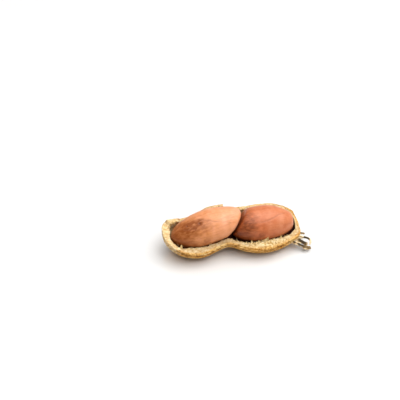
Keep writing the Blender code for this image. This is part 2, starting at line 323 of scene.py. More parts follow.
def netPodHalf(half):
    # the net and its pits, the torn rim's grooves and teeth, and the crumpled lining, each by its own weights
    inward = [0.0] * len(half.data.vertices)
    half.data.attributes["inward"].data.foreach_get("value", inward)
    rightKernel = kernelSurface("kernel_right")
    leftKernel = kernelSurface("kernel_left")
    sunk, raised, relief, deep, husk, paper = [], [], [], [], [], []
    ridge, groove, ragged, teeth, edgeSway, crumpled, fringe, cushion, step = [[] for _ in range(9)]
    thinFront, thinTip, paleness = [], [], []
    for vertex, share in zip(half.data.vertices, inward):
        x, y, z = vertex.co
        front = y < stationValue(x, 1)
        barFade = min(1.0, endRound(x) / 0.85) ** 3
        ribFade = min(1.0, endRound(x) / 0.6) ** 2
        outside = share < 0.001
        lining = share > 0.999
        rib, bar = netHeight(x, math.atan2(max(-z, 0.0), y - stationValue(x, 1))) if outside else (0.0, 0.0)
        height = max(rib * ribFade, bar * barFade)
        sunk.append(barFade if outside else 0.0)
        raised.append(height if outside else 0.0)
        relief.append(1.0 - barFade * (1.0 - height) if outside else 1.0)
        husk.append(1.0 if outside else 0.0)
        depth = rimLift(x, -1.0 if front else 1.0) - z
        nearRim = max(0.0, 1.0 - depth / (1.2 * mm)) if outside or lining else 1.0
        torn = (lipWidth(x) - podForm["lip"]) / (podForm["tornLip"] - podForm["lip"]) if front else 0.0
        uneven = 0.75 + 0.9 * noise.noise(Vector((x * 400.0, y * 60.0, 3.3)))
        onRim = not (outside or lining)
        # painted shade: deep darkens the lining to maroon below the rim, in the gaps beside the kernels and at the
        # right tip, less at the lit left end; it also gives the rim a slight darker tone away from the tear
        leftEnd = ramp(-x, 13.5 * mm, 16.0 * mm)
        litEnd = 1.0 - 0.9 * leftEnd
        shaded = max(0.0, min(1.0, depth / (2.2 * mm) - 0.1))
        waistGap = ramp(x, -1.0 * mm, 1.5 * mm) - ramp(x, 6.0 * mm, 8.0 * mm)
        leftGap = ramp(x, -17.2 * mm, -16.0 * mm) - ramp(x, -15.0 * mm, -12.5 * mm)
        inGap = 0.9 * (waistGap + leftGap) * ramp(share, 0.7, 0.95) if front else 0.0
        inGap = max(inGap, 0.95 * ramp(x, 12.0 * mm, 15.0 * mm) * ramp(share, 0.8, 1.0))
        deep.append(0.0 if outside else max(litEnd * max(shaded, 0.2 * (1.0 - torn)), inGap))
        paper.append(torn * nearRim)
        ridge.append(math.exp(-(((share - 0.08) / 0.14) ** 2)) * uneven if onRim else 0.0)
        groove.append(math.exp(-(((share - 0.4) / 0.16) ** 2)) * uneven * (1.0 - 0.4 * torn) if onRim else 0.0)
        ragged.append((0.25 + 0.4 * torn) * nearRim)
        teeth.append(ramp(share, 0.65, 1.0) * nearRim * (0.4 + 0.6 * torn))
        edgeSway.append(min(1.0, share * 1.3) * nearRim * 0.7)
        crumpled.append(1.0 if lining else 0.0)
        tip = ramp(x, 12.5 * mm, 15.0 * mm)
        gap = rightKernel.find_nearest(vertex.co)[3] - podForm["tornGap"] - 0.35 * mm * tip
        toLeft = leftKernel.find_nearest(vertex.co)[3] - podForm["tornGap"]
        beside = ramp(x, -14.0 * mm, -12.0 * mm) - ramp(x, -4.0 * mm, -2.0 * mm)
        leftFill = max(0.0, toLeft - 0.5 * mm * (1.0 - ramp(x, -13.5 * mm, -9.0 * mm))) * beside
        filled = max(max(0.0, gap) * max(torn, tip), 0.8 * leftFill) if front else 0.0
        fringe.append(filled / mm * nearRim * ramp(share, 0.3, 1.0))
        room = toLeft / podForm["cushion"]
        slope = max(0.0, 1.0 - depth / podForm["lipDepth"])
        cushion.append(max(0.0, min(1.0, room)) * slope * leftEnd * ramp(share, 0.1, 1.0))
        inner = slope * ramp(share, 0.3, 1.0)
        rightFront = ramp(x, 10.5 * mm, 14.0 * mm)
        thinFront.append(inner * max(0.35 * rightFront, 0.9 * leftGap, 0.4 * waistGap) if front else 0.0)
        thinTip.append(max(0.0, min(1.0, gap / mm)) * inner * ramp(x, 15.5 * mm, 17.0 * mm))
        # painted light: near the rim the left end is painted paler, where the light falls on the left wall
        paintedLightEnd = 0.6 * ramp(-x, 13.5 * mm, 17.0 * mm) * ramp(-depth, -3.0 * mm, -1.0 * mm)
        paleness.append(max(share, paintedLightEnd))
        torn = ramp(x, -9.5 * mm, -5.5 * mm) - ramp(x, -1.5 * mm, -1.1 * mm) * 1.25
        fold = ramp(x, -17.6 * mm, -16.8 * mm) - ramp(x, -14.6 * mm, -13.2 * mm)
        higher = 0.5 * ramp(x, 9.0 * mm, 12.0 * mm) + 0.4 * ramp(x, 13.5 * mm, 16.0 * mm)
        higher -= 0.9 * ramp(x, 17.4 * mm, 18.9 * mm)
        step.append(0.0 if front else 0.5 + 0.5 * nearRim * (torn + 0.5 * fold + higher) * 0.9)
    displace(half, "pits", sunk, -podForm["pitDepth"])
    displace(half, "net", raised, podForm["pitDepth"] + podForm["netHeight"])
    displace(half, "grain", husk, 0.16 * mm, texture=cloudTexture("huskGrain", 0.5 * mm, 3))
    displace(half, "ridge", ridge, 0.16 * mm, direction="Z")
    displace(half, "groove", groove, -0.22 * mm, direction="Z")
    displace(half, "fringe", fringe, 1.0 * mm, direction="Y")
    displace(half, "cushion", cushion, podForm["cushion"], direction="X")
    displace(half, "thinFront", thinFront, -0.6 * mm, direction="Y")
    displace(half, "thinTip", thinTip, -0.8 * mm, direction="X")
    displace(half, "ragged", ragged, 0.9 * mm, direction="Z", texture=cloudTexture("tornEdge", 0.8 * mm))
    displace(half, "teeth", teeth, 0.9 * mm, direction="Z", texture=cloudTexture("tornTeeth", 0.35 * mm))
    displace(half, "sway", edgeSway, 1.1 * mm, direction="Y", texture=cloudTexture("edgeSway", 1.3 * mm))
    displace(half, "crumple", crumpled, 0.25 * mm, texture=cloudTexture("liningCrumple", 1.4 * mm))
    raiseBackRim(half, step)
    half.data.attributes["inward"].data.foreach_set("value", paleness)
    paintAttribute(half, "relief", relief)
    paintAttribute(half, "deep", deep)
    paintAttribute(half, "paper", paper)
    return [vertex.co.copy() for vertex, share in zip(half.data.vertices, inward) if 0.8 < share < 0.99]


def raiseBackRim(half, step):
    # the back rim stands 0.45 mm higher up to a torn step at the waist, and is folded up near the left end
    raised = [max(0.0, weight - 0.5) * 2.0 if weight > 0.0 else 0.0 for weight in step]
    lowered = [max(0.0, 0.5 - weight) * 2.0 if weight > 0.0 else 0.0 for weight in step]
    displace(half, "raised", raised, 1.8 * mm, direction="Z")
    displace(half, "lowered", lowered, -0.5 * mm, direction="Z")


def flattenUnder(thing):
    # the lobes are pressed flat where they stand on the table
    below = [vertex.index for vertex in thing.data.vertices if vertex.co.z < 0.0]
    if below:
        editVertices(thing)
        pickVertices(thing, below)
        bpy.ops.transform.resize(value=(1, 1, 0), center_override=(0, 0, 0))
        bpy.ops.object.mode_set(mode="OBJECT")


podHalf = addPodHalf()
innerEdge = netPodHalf(podHalf)
layOnTable(podHalf)
flattenUnder(podHalf)
podHalf.data.shade_smooth()
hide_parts("shell_half")
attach(podHalf, "root")
print("half pod:", len(podHalf.data.polygons), "faces")


# Torn paper of the lining: one shred is modelled, then laid along the rim in many sizes
shredForm = {
    "length": 1.0 * mm,
    "width": 0.5 * mm,
    "thickness": 0.1 * mm,
    "cuts": 3,
    # first and last place along the pod in mm, number, smallest and largest size, side (-1 is the front rim)
    "runs": (
        (3.2, 8.0, 26, 0.3, 0.75, -1),
        (7.5, 15.8, 22, 0.25, 0.5, -1),
        (-13.0, -3.0, 16, 0.3, 0.5, -1),
        (-2.5, 3.0, 14, 0.3, 0.65, -1),
        (-17.4, -14.0, 12, 0.35, 0.8, 1),
        (-12.0, 15.0, 30, 0.25, 0.55, 1),
    ),
    # place along the pod in mm, size, width share, lean over the kernel in degrees
    "spikes": ((8.8, 2.0, 2.6, 68), (8.0, 0.9, 1.8, 40), (4.6, 1.1, 1.3, 20), (-14.6, 1.3, 1.3, 12), (13.4, 1.0, 1.2, 55)),
}


def addShredModel():
    deselectAll()
    bpy.ops.mesh.primitive_cube_add(size=1.0, location=(0, 0, shredForm["length"] / 2))
    shred = bpy.context.active_object
    shred.name = "shredModel"
    shred.scale = (shredForm["width"], shredForm["thickness"], shredForm["length"])
    bpy.ops.object.transform_apply(location=True, rotation=True, scale=True)
    editVertices(shred)
    bpy.ops.mesh.select_all(action="SELECT")
    bpy.ops.mesh.subdivide(number_cuts=shredForm["cuts"])
    bpy.ops.object.mode_set(mode="OBJECT")
    levels = sorted({round(vertex.co.z, 6) for vertex in shred.data.vertices})
    for level, width, lean in zip(levels[1:], (1.05, 0.85, 0.6, 0.22), (0.03, 0.1, 0.2, 0.34)):
        members = [vertex.index for vertex in shred.data.vertices if abs(vertex.co.z - level) < 1e-6]
        editVertices(shred)
        pickVertices(shred, members)
        bpy.ops.transform.resize(value=(width, 1.0 - 0.4 * lean, 1), center_override=(0, 0, level))
        bpy.ops.transform.translate(value=(0.1 * mm * lean, 0.6 * mm * lean, 0))
        bpy.ops.object.mode_set(mode="OBJECT")
    subdivide(shred, 1)
    return shred


def layShred(model, place, toward, size, width):
    shred = bpy.data.objects.new("shred", model.data.copy())
    bpy.context.scene.collection.objects.link(shred)
    side = Vector((1.0, random.uniform(-0.5, 0.5), random.uniform(-0.4, 0.4)))
    side = (side - toward * side.dot(toward)).normalized()
    turn = Matrix((side, toward.cross(side), toward)).transposed().to_4x4()
    scale = Matrix.Diagonal((width, random.uniform(0.7, 1.3), size, 1.0))
    shred.data.transform(Matrix.Translation(place) @ turn @ scale)
    return shred


def edgePlace(x, side):
    # a place on the rim's inner edge, on the front or the back side
    nearest = [place for place in innerEdge if abs(place.x - x) < 0.25 * mm]
    nearest = [place for place in nearest if (place.y > stationValue(place.x, 1)) == (side > 0)]
    return random.choice(nearest) if nearest else None


def addRimShreds():
    model = addShredModel()
    laid = []
    for first, last, count, smallest, largest, side in shredForm["runs"]:
        for _ in range(count):
            place = edgePlace(random.uniform(first, last) * mm, side)
            lean = math.radians(random.uniform(0.0, 50.0))
            sway = random.uniform(-0.6, 0.6)
            size = random.uniform(smallest, largest)
            width = random.uniform(0.8, 1.9) * (0.5 + 0.5 * size)
            if place:
                toward = Vector((sway, -side * math.cos(lean), math.sin(lean))).normalized()
                laid.append(layShred(model, place - toward * 0.15 * mm, toward, size, width))
    for x, size, width, lean in shredForm["spikes"]:
        place = edgePlace(x * mm, -1)
        toward = Vector((0.05, math.cos(math.radians(lean)), math.sin(math.radians(lean)))).normalized()
        laid.append(layShred(model, place - toward * 0.2 * mm, toward, size, width))
    bpy.data.objects.remove(model)
    deselectAll()
    for shred in laid:
        shred.select_set(True)
    bpy.context.view_layer.objects.active = laid[0]
    bpy.ops.object.join()
    shreds = bpy.context.active_object
    shreds.name = "rimShreds"
    whole = [1.0] * len(shreds.data.vertices)
    displace(shreds, "frayed", whole, 0.35 * mm, texture=cloudTexture("shredFray", 0.4 * mm))
    paintAttribute(shreds, "inward", whole)
    paintAttribute(shreds, "relief", whole)
    paintAttribute(shreds, "paper", whole)
    layOnTable(shreds)
    shreds.data.shade_smooth()
    return shreds


# Fine fibres that stand off the torn rim
fibreForm = {"radius": 0.045 * mm, "runs": ((3.0, 16.0, 26, -1), (-16.0, 3.0, 22, -1), (-17.0, 15.0, 22, 1)), "length": (0.5, 1.6)}


def addRimFibres():
    curve = bpy.data.curves.new("rimFibres", "CURVE")
    curve.dimensions = "3D"
    curve.bevel_depth = fibreForm["radius"]
    curve.bevel_resolution = 1
    curve.resolution_u = 4
    curve.use_fill_caps = True
    for first, last, count, side in fibreForm["runs"]:
        for _ in range(count):
            place = edgePlace(random.uniform(first, last) * mm, side)
            length = random.uniform(*fibreForm["length"]) * mm
            heading = Vector((random.uniform(-1.2, 1.2), -side * random.uniform(-0.2, 0.8), random.uniform(0.15, 0.8)))
            heading.normalize()
            droop = Vector((random.uniform(-0.3, 0.3), random.uniform(-0.3, 0.3), -random.uniform(0.1, 0.5)))
            if not place:
                continue
            spline = curve.splines.new("BEZIER")
            spline.bezier_points.add(2)
            for index, share in enumerate((-0.15, 0.5, 1.0)):
                knot = spline.bezier_points[index]
                knot.co = place + heading * length * share + droop * length * share * abs(share)
                knot.handle_left_type = "AUTO"
                knot.handle_right_type = "AUTO"
                knot.radius = 1.0 - 0.6 * max(share, 0.0)
    fibres = bpy.data.objects.new("rimFibres", curve)
    bpy.context.scene.collection.objects.link(fibres)
    makeActive(fibres)
    bpy.ops.object.convert(target="MESH")
    fibres = bpy.context.active_object
    whole = [1.0] * len(fibres.data.vertices)
    paintAttribute(fibres, "inward", whole)
    paintAttribute(fibres, "relief", whole)
    layOnTable(fibres)
    fibres.data.shade_smooth()
    return fibres


rimShreds = addRimShreds()
rimFibres = addRimFibres()
for torn in (rimShreds, rimFibres):
    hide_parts("shell_half")
    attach(torn, "root")
print("torn rim:", len(rimShreds.data.polygons), "shred faces,", len(rimFibres.data.polygons), "fibre faces")


# The dry strands of the stalk that hang from the pod's tip: radius, flattening, how dark its bark is at each point
# (0 cream, 1 dark), then the points, in mm
stalkForm = {
    "sides": 3,
    "strands": (
        (0.44, 0.8, (0.2, 0.3, 0.6, 0.4), ((18.0, -2.1, -0.8), (18.7, -2.3, -0.8), (19.6, -2.5, -0.7), (20.2, -2.6, -0.8))),
        (
            0.40, 0.9, (0.0, 0.1, 1.2, 0.1, 0.05),
            ((17.7, -3.0, -1.3), (18.9, -3.3, -1.4), (20.6, -3.7, -1.2), (21.6, -4.5, -1.6), (21.3, -5.4, -2.2)),
        ),
        (
            0.66, 0.9, (0.05, 0.2, 1.0, 1.0, 0.3),
            ((17.2, -3.4, -1.5), (17.9, -3.7, -1.7), (18.8, -4.1, -1.9), (20.0, -4.7, -2.3), (20.8, -5.0, -2.4)),
        ),
        (
            0.48, 0.9, (1.0, 1.1, 0.4, 1.2, 1.1, 0.4, 0.5),
            (
                (16.2, -3.9, -1.7), (16.8, -4.4, -1.8), (17.6, -4.9, -1.9), (18.4, -5.2, -2.1), (19.4, -5.6, -2.4),
                (20.2, -5.9, -2.7), (21.4, -6.0, -2.8),
            ),
        ),
        (0.30, 0.6, (0.1, 0.0, 0.1, 0.0), ((17.4, -2.5, -0.9), (18.0, -2.8, -0.8), (18.9, -3.1, -0.8), (19.8, -3.5, -1.0))),
        (0.24, 0.8, (0.1, 0.0, 0.1, 0.0), ((16.8, -3.9, -1.6), (17.3, -4.3, -1.7), (18.1, -4.6, -1.9), (18.9, -4.9, -2.1))),
        (0.8, 0.4, (0.6, 0.6, 0.5), ((19.6, -5.7, -2.5), (20.6, -6.1, -2.7), (21.5, -6.0, -2.8))),
    ),
}


def addStrand(index, radius, flat, bark, points):
    curve = bpy.data.curves.new(f"strand{index}", "CURVE")
    curve.dimensions = "3D"
    curve.bevel_depth = 1.0 * mm
    curve.bevel_resolution = stalkForm["sides"]
    curve.use_fill_caps = True
    curve.resolution_u = 10
    spline = curve.splines.new("BEZIER")
    spline.bezier_points.add(len(points) - 1)
    last = len(points) - 1
    for place, point in enumerate(points):
        knot = spline.bezier_points[place]
        knot.co = Vector(point) * mm
        knot.handle_left_type = "AUTO"
        knot.handle_right_type = "AUTO"
        knot.radius = radius * (1.0 - 0.35 * place / last)
    strand = bpy.data.objects.new(f"stalkStrand{index}", curve)
    bpy.context.scene.collection.objects.link(strand)
    makeActive(strand)
    bpy.ops.object.convert(target="MESH")
    strand = bpy.context.active_object
    subdivide(strand, 1)
    whole = [1.0] * len(strand.data.vertices)
    displace(strand, "fibrous", whole, 0.45 * radius * mm, texture=cloudTexture(f"strandFibre{index}", 0.45 * mm))

    # the strands are flattened; the bark's darkness follows each strand's list, and each strand's sides are painted
    # cream as a painted highlight
    path = [Vector(point) * mm for point in points]
    tone = []
    for vertex in strand.data.vertices:
        share, middle = shareAlong(vertex.co, path)
        vertex.co.z = middle.z + (vertex.co.z - middle.z) * flat
        before = min(int(share), last - 1)
        value = bark[before] + (bark[before + 1] - bark[before]) * (share - before)
        # painted highlight: the bark is painted paler towards the strand's sides
        edge = (vertex.co - middle).to_2d().length / (radius * mm)
        tone.append(value * (1.0 - 0.8 * ramp(edge, 0.45, 0.8)))
    paintAttribute(strand, "bark", tone)
    layOnTable(strand)
    flattenUnder(strand)
    strand.data.shade_smooth()
    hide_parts("shell_half")
    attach(strand, "root")
    return strand


def shareAlong(place, path):
    # how far along a path the nearest point lies, counted in its points, and that point
    best = (1.0, 0.0, path[0])
    for index, (start, end) in enumerate(zip(path, path[1:])):
        span = end - start
        share = max(0.0, min(1.0, (place - start).dot(span) / span.length_squared))
        middle = start + span * share
        away = (place - middle).length
        if away < best[0]:
            best = (away, index + share, middle)
    return best[1], best[2]


stalkStrands = [addStrand(index, *strand) for index, strand in enumerate(stalkForm["strands"])]
print("stalk:", len(stalkStrands), "strands")


# The kernels: the CAD's own form made finer, with wrinkles, creases and stains pressed into the skin, and painted light
# and shade on the skin.
# Places are in mm in the half pod's frame.
kernelForms = {
    "kernelLeft": {
        "node": "kernel_left",
        "slot": "kernel_skin_pale",
        "middle": (-6.65, 0.5, 1.2),
        "turn": math.radians(8.5),
        "rise": math.radians(11.0),
        "blush": (0.45, 0.15, 0.8),
        "pressed": (((-1.2, 5.1, 5.0), 4.2, 0.58),),
        # brown patches of the skin; the broad one low at the left end is painted shade
        "stainsAndShade": (
            ((-12.8, -0.4, 4.1), 1.0, 0.7),
            ((-11.0, -1.0, 4.7), 1.6, 0.5),
            ((-9.4, -0.4, 5.4), 1.2, 0.35),
            ((-16.5, -1.5, 0.5), 6.5, 0.75),
            ((-9.6, -1.6, 4.8), 3.6, 0.32),
            ((-7.4, -1.4, 5.7), 2.6, 0.3),
            ((-13.0, -2.0, 3.0), 2.8, 0.24),
        ),
        "dots": (((-9.28, -0.87, 5.40), 0.3), ((-12.54, -0.63, 4.13), 0.2)),
        "creases": (
            ((-9.0, 0.1, 5.65), (-7.7, -0.3, 5.96), (-5.2, -1.16, 6.16), (-1.1, -1.64, 5.83)),
            ((-13.2, -1.4, 3.6), (-11.8, -1.7, 4.3), (-10.3, -2.0, 4.6)),
        ),
    },
    "kernelRight": {
        "node": "kernel_right",
        "slot": "kernel_skin_red",
        "middle": (8.75, 0.7, 1.1),
        "turn": math.radians(2.5),
        "rise": math.radians(1.0),
        "blush": (0.45, 0.25, 0.8),
        # brown patches of the skin; the broad one low at the left end is painted shade
        "stainsAndShade": (
            ((4.2, -1.4, 4.6), 3.4, 0.42),
            ((5.2, -3.4, 3.3), 2.4, 0.2),
            ((4.6, 2.4, 4.0), 3.4, 0.28),
            ((1.0, -2.0, 2.0), 4.5, 0.45),
        ),
        "dots": (),
        "pressed": (((15.4, 3.6, 3.4), 3.6, 0.45),),
        "creases": (
            ((7.6, -1.9, 5.28), (9.3, -1.66, 5.41), (11.1, -0.94, 5.58), (12.7, 0.05, 5.63), (14.5, 0.59, 5.14)),
        ),
    },
}


def distanceToPath(place, path):
    return (place - shareAlong(place, path)[1]).length


def addKernel(name, form):
    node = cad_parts[form["node"]]
    kernel = bpy.data.objects.new(name, node.data.copy())
    kernel.data.materials.clear()
    bpy.context.scene.collection.objects.link(kernel)
    editVertices(kernel)
    bpy.ops.mesh.select_all(action="SELECT")
    bpy.ops.mesh.remove_doubles(threshold=1e-6)
    bpy.ops.mesh.tris_convert_to_quads()
    bpy.ops.object.mode_set(mode="OBJECT")
    subdivide(kernel, 3)

    # skinPlace unrolls the skin as if the seed were a cylinder, so that veins run from end to end
    tableToPod = podToTable.inverted()
    lie = Euler((0.0, -form["rise"], form["turn"])).to_matrix().transposed()
    middle = Vector(form["middle"]) * mm
    creases = [[Vector(point) * mm for point in path] for path in form["creases"]]
    stain = []
    groove = []
    wrinkle = []
    skinPlace = []
    blush = []
    pressed = []
    for vertex in kernel.data.vertices:
        place = tableToPod @ vertex.co
        pressed.append(0.0)
        for centre, size, depth in form["pressed"]:
            away = (place - Vector(centre) * mm).length / (size * mm)
            pressed[-1] += depth * math.exp(-away * away)
        own = lie @ (place - middle)
        around = Vector((0.0, own.y, own.z))
        girth = 5.0 * mm * (1.0 - math.exp(-around.length / (2.2 * mm)))
        unrolled = Vector((own.x, 0.0, 0.0)) + around.normalized() * girth
        skinPlace.extend(unrolled)
        # painted light: the upper right side of each kernel is painted lighter and the lower left darker, as the light
        # falls
        blush.append(0.5 + own.dot(Vector(form["blush"])) / (12.0 * mm))
        darkness = 0.0
        # darkness sums the skin's own brown patches and the painted shade of the broad low ones
        for centre, size, depth in form["stainsAndShade"]:
            away = (place - Vector(centre) * mm).length / (size * mm)
            darkness += depth * math.exp(-away * away)
        # the creases and dots are dented, and their depth also paints shade into the creases through groove
        deep = 0.0
        for path in creases:
            away = distanceToPath(place, path) / (0.2 * mm)
            deep = max(deep, 0.34 * math.exp(-away * away))
        for centre, size in form["dots"]:
            away = (place - Vector(centre) * mm).length / (size * mm)
            deep = max(deep, math.exp(-away * away))
            darkness += 0.9 * math.exp(-away * away)
        fine = noise.noise(Vector((unrolled.x * 150.0, unrolled.y * 900.0, unrolled.z * 900.0)))
        shallow = max(0.0, 0.5 + fine) * (0.35 + min(darkness, 1.0))
        stain.append(min(darkness, 1.0))
        groove.append(deep)
        wrinkle.append(shallow)
    displace(kernel, "pressed", pressed, -1.0 * mm)
    displace(kernel, "groove", groove, -0.16 * mm)
    displace(kernel, "wrinkle", wrinkle, -0.06 * mm)
    whole = [1.0] * len(stain)
    displace(kernel, "lumps", whole, 0.22 * mm, texture=cloudTexture(name + "Lumps", 3.5 * mm))
    paintAttribute(kernel, "stain", stain)
    paintAttribute(kernel, "blush", blush)
    paintAttribute(kernel, "groove", groove)
    layer = kernel.data.attributes.new("skinPlace", "FLOAT_VECTOR", "POINT")
    layer.data.foreach_set("vector", skinPlace)
    kernel.data.shade_smooth()
    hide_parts(form["node"])
    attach(kernel, "root")
    print(name + ":", len(kernel.data.polygons), "faces")
    return kernel


kernels = {name: addKernel(name, form) for name, form in kernelForms.items()}


# Finishes
def linear(hexColour):
    channels = [int(hexColour[place:place + 2], 16) / 255.0 for place in (0, 2, 4)]
    return (*[c / 12.92 if c <= 0.04045 else ((c + 0.055) / 1.055) ** 2.4 for c in channels], 1.0)


def addNode(tree, kind, settings=None, links=None):
    node = tree.nodes.new(kind)
    for key, value in (settings or {}).items():
        if key == "stops":
            while len(node.color_ramp.elements) < len(value):
                node.color_ramp.elements.new(1.0)
            for element, (position, colour) in zip(node.color_ramp.elements, value):
                element.position = position
                element.color = linear(colour)
        elif isinstance(key, int) or key in node.inputs:
            node.inputs[key].default_value = value
        else:
            setattr(node, key, value)
    for key, source in (links or {}).items():
        tree.links.new(source, node.inputs[key])
    return node


def newMaterial(name):
    material = bpy.data.materials.new(name)
    material.use_nodes = True
    tree = material.node_tree
    tree.nodes.clear()
    return material, tree


def driedPodHusk():
    # dried legume husk: matte straw-ochre net outside, torn cream fibre at the rim, papery pale lining inside
    material, tree = newMaterial("driedPodHusk")
    place = addNode(tree, "ShaderNodeTexCoord").outputs["Object"]
    turned = addNode(
        tree, "ShaderNodeMapping", {"Rotation": (-podLie["roll"], -podLie["pitch"], 0.0)}, {"Vector": place}
    ).outputs[0]
    along = addNode(tree, "ShaderNodeMapping", {"Scale": (0.12, 1.0, 1.0)}, {"Vector": turned}).outputs[0]
    relief = addNode(tree, "ShaderNodeAttribute", {"attribute_name": "relief"}).outputs["Fac"]
    inward = addNode(tree, "ShaderNodeAttribute", {"attribute_name": "inward"}).outputs["Fac"]
    deep = addNode(tree, "ShaderNodeAttribute", {"attribute_name": "deep"}).outputs["Fac"]

    # the husk: straw to ochre in blotches of 3 mm, painted shade in brown in the pits, fine fibres lengthwise, 0.35 mm
    # apart
    blotch = addNode(tree, "ShaderNodeTexNoise", {"Scale": 1 / (3.0 * mm), "Detail": 4.0}, {"Vector": place})
    fibre = addNode(tree, "ShaderNodeTexNoise", {"Scale": 1 / (0.35 * mm), "Detail": 3.0}, {"Vector": along})
    speck = addNode(tree, "ShaderNodeTexNoise", {"Scale": 1 / (0.5 * mm), "Detail": 3.0}, {"Vector": place})
    straw = addNode(
        tree, "ShaderNodeValToRGB", {"stops": ((0.3, "C6924A"), (0.5, "E4B466"), (0.7, "F4D694"))},
        {"Fac": blotch.outputs["Fac"]},
    )
    pitted = addNode(
        tree, "ShaderNodeMath", {"operation": "MULTIPLY_ADD", 1: 0.5, 2: -0.25}, {0: speck.outputs["Fac"]}
    )
    pitLevel = addNode(tree, "ShaderNodeMath", {"operation": "ADD"}, {0: relief, 1: pitted.outputs[0]})
    # painted shade: the pits are painted darker brown where the relief sinks, with random specks
    pitShade = addNode(
        tree, "ShaderNodeValToRGB",
        {"stops": ((0.0, "8A5A2A"), (0.16, "BE9356"), (0.4, "E6CA9A"), (0.7, "FFFFFF"))},
        {"Fac": pitLevel.outputs[0]},
    )
    husk = addNode(
        tree, "ShaderNodeMix", {"data_type": "RGBA", "blend_type": "MULTIPLY", 0: 0.85},
        {6: straw.outputs["Color"], 7: pitShade.outputs["Color"]},
    )
    streak = addNode(
        tree, "ShaderNodeValToRGB", {"stops": ((0.35, "B08850"), (0.6, "FFFFFF"))}, {"Fac": fibre.outputs["Fac"]}
    )
    spot = addNode(
        tree, "ShaderNodeValToRGB", {"stops": ((0.36, "8A5A2A"), (0.44, "E8CEA0"), (0.5, "FFFFFF"))},
        {"Fac": speck.outputs["Fac"]},
    )
    spotted = addNode(
        tree, "ShaderNodeMix", {"data_type": "RGBA", "blend_type": "MULTIPLY", 0: 0.7},
        {6: husk.outputs[2], 7: spot.outputs["Color"]},
    )
    huskFibre = addNode(
        tree, "ShaderNodeMix", {"data_type": "RGBA", "blend_type": "MULTIPLY", 0: 0.3},
        {6: spotted.outputs[2], 7: streak.outputs["Color"]},
    )

    # the torn rim and the lining: cream paper with straw in its hollows, with painted shade in dark maroon down the
    # lining, in the gaps beside the kernels and at the right tip
    torn = addNode(
        tree, "ShaderNodeTexNoise", {"Scale": 1 / (0.7 * mm), "Detail": 5.0, "Roughness": 0.65}, {"Vector": place}
    )
    whole = addNode(
        tree, "ShaderNodeValToRGB", {"stops": ((0.3, "C49A5E"), (0.48, "E4C590"), (0.68, "F8E8BE"))},
        {"Fac": torn.outputs["Fac"]},
    )
    flaked = addNode(
        tree, "ShaderNodeValToRGB", {"stops": ((0.32, "8A6432"), (0.43, "C9A566"), (0.52, "E4CB94"), (0.66, "F4E4B8"))},
        {"Fac": torn.outputs["Fac"]},
    )
    tornPaper = addNode(tree, "ShaderNodeAttribute", {"attribute_name": "paper"}).outputs["Fac"]
    poreCells = addNode(tree, "ShaderNodeTexVoronoi", {"Scale": 1 / (0.75 * mm)}, {"Vector": place})
    pore = addNode(
        tree, "ShaderNodeMapRange", {"From Min": 0.28, "From Max": 0.12, "To Max": 0.75},
        {"Value": poreCells.outputs["Distance"]},
    )
    poreShare = addNode(tree, "ShaderNodeMath", {"operation": "MULTIPLY"}, {0: pore.outputs[0], 1: tornPaper})
    paper = addNode(
        tree, "ShaderNodeMix", {"data_type": "RGBA"},
        {0: tornPaper, 6: whole.outputs["Color"], 7: flaked.outputs["Color"]},
    )
    porous = addNode(
        tree, "ShaderNodeMix", {"data_type": "RGBA", 7: linear("6E4420")},
        {0: poreShare.outputs[0], 6: paper.outputs[2]},
    )
    paperFibre = addNode(
        tree, "ShaderNodeMix", {"data_type": "RGBA", "blend_type": "MULTIPLY", 0: 0.3},
        {6: porous.outputs[2], 7: streak.outputs["Color"]},
    )
    # painted shade: the dark maroon of deep, down the lining and in the gaps beside the kernels
    stainedAndShaded = addNode(
        tree, "ShaderNodeMix", {"data_type": "RGBA", 7: linear("481812")}, {0: deep, 6: paperFibre.outputs[2]}
    )
    sway = addNode(
        tree, "ShaderNodeMath", {"operation": "MULTIPLY_ADD", 1: 0.5, 2: -0.25}, {0: speck.outputs["Fac"]}
    )
    edge = addNode(tree, "ShaderNodeMath", {"operation": "ADD"}, {0: inward, 1: sway.outputs[0]})
    pale = addNode(tree, "ShaderNodeMapRange", {"From Min": 0.08, "From Max": 0.4}, {"Value": edge.outputs[0]})
    colour = addNode(
        tree, "ShaderNodeMix", {"data_type": "RGBA"},
        {0: pale.outputs[0], 6: huskFibre.outputs[2], 7: stainedAndShaded.outputs[2]},
    )
    grit = addNode(tree, "ShaderNodeTexNoise", {"Scale": 1 / (0.18 * mm), "Detail": 2.0}, {"Vector": place})
    height = addNode(
        tree, "ShaderNodeMath", {"operation": "MULTIPLY_ADD", 1: 0.6}, {0: torn.outputs["Fac"], 2: grit.outputs["Fac"]}
    )
    bump = addNode(
        tree, "ShaderNodeBump", {"Strength": 0.7, "Distance": 0.2 * mm}, {"Height": height.outputs[0]}
    )
    shader = addNode(
        tree, "ShaderNodeBsdfPrincipled", {"Roughness": 0.85, "IOR": 1.45, "Specular IOR Level": 0.25},
        {"Base Color": colour.outputs[2], "Normal": bump.outputs[0]},
    )
    addNode(tree, "ShaderNodeOutputMaterial", None, {"Surface": shader.outputs[0]})
    return material


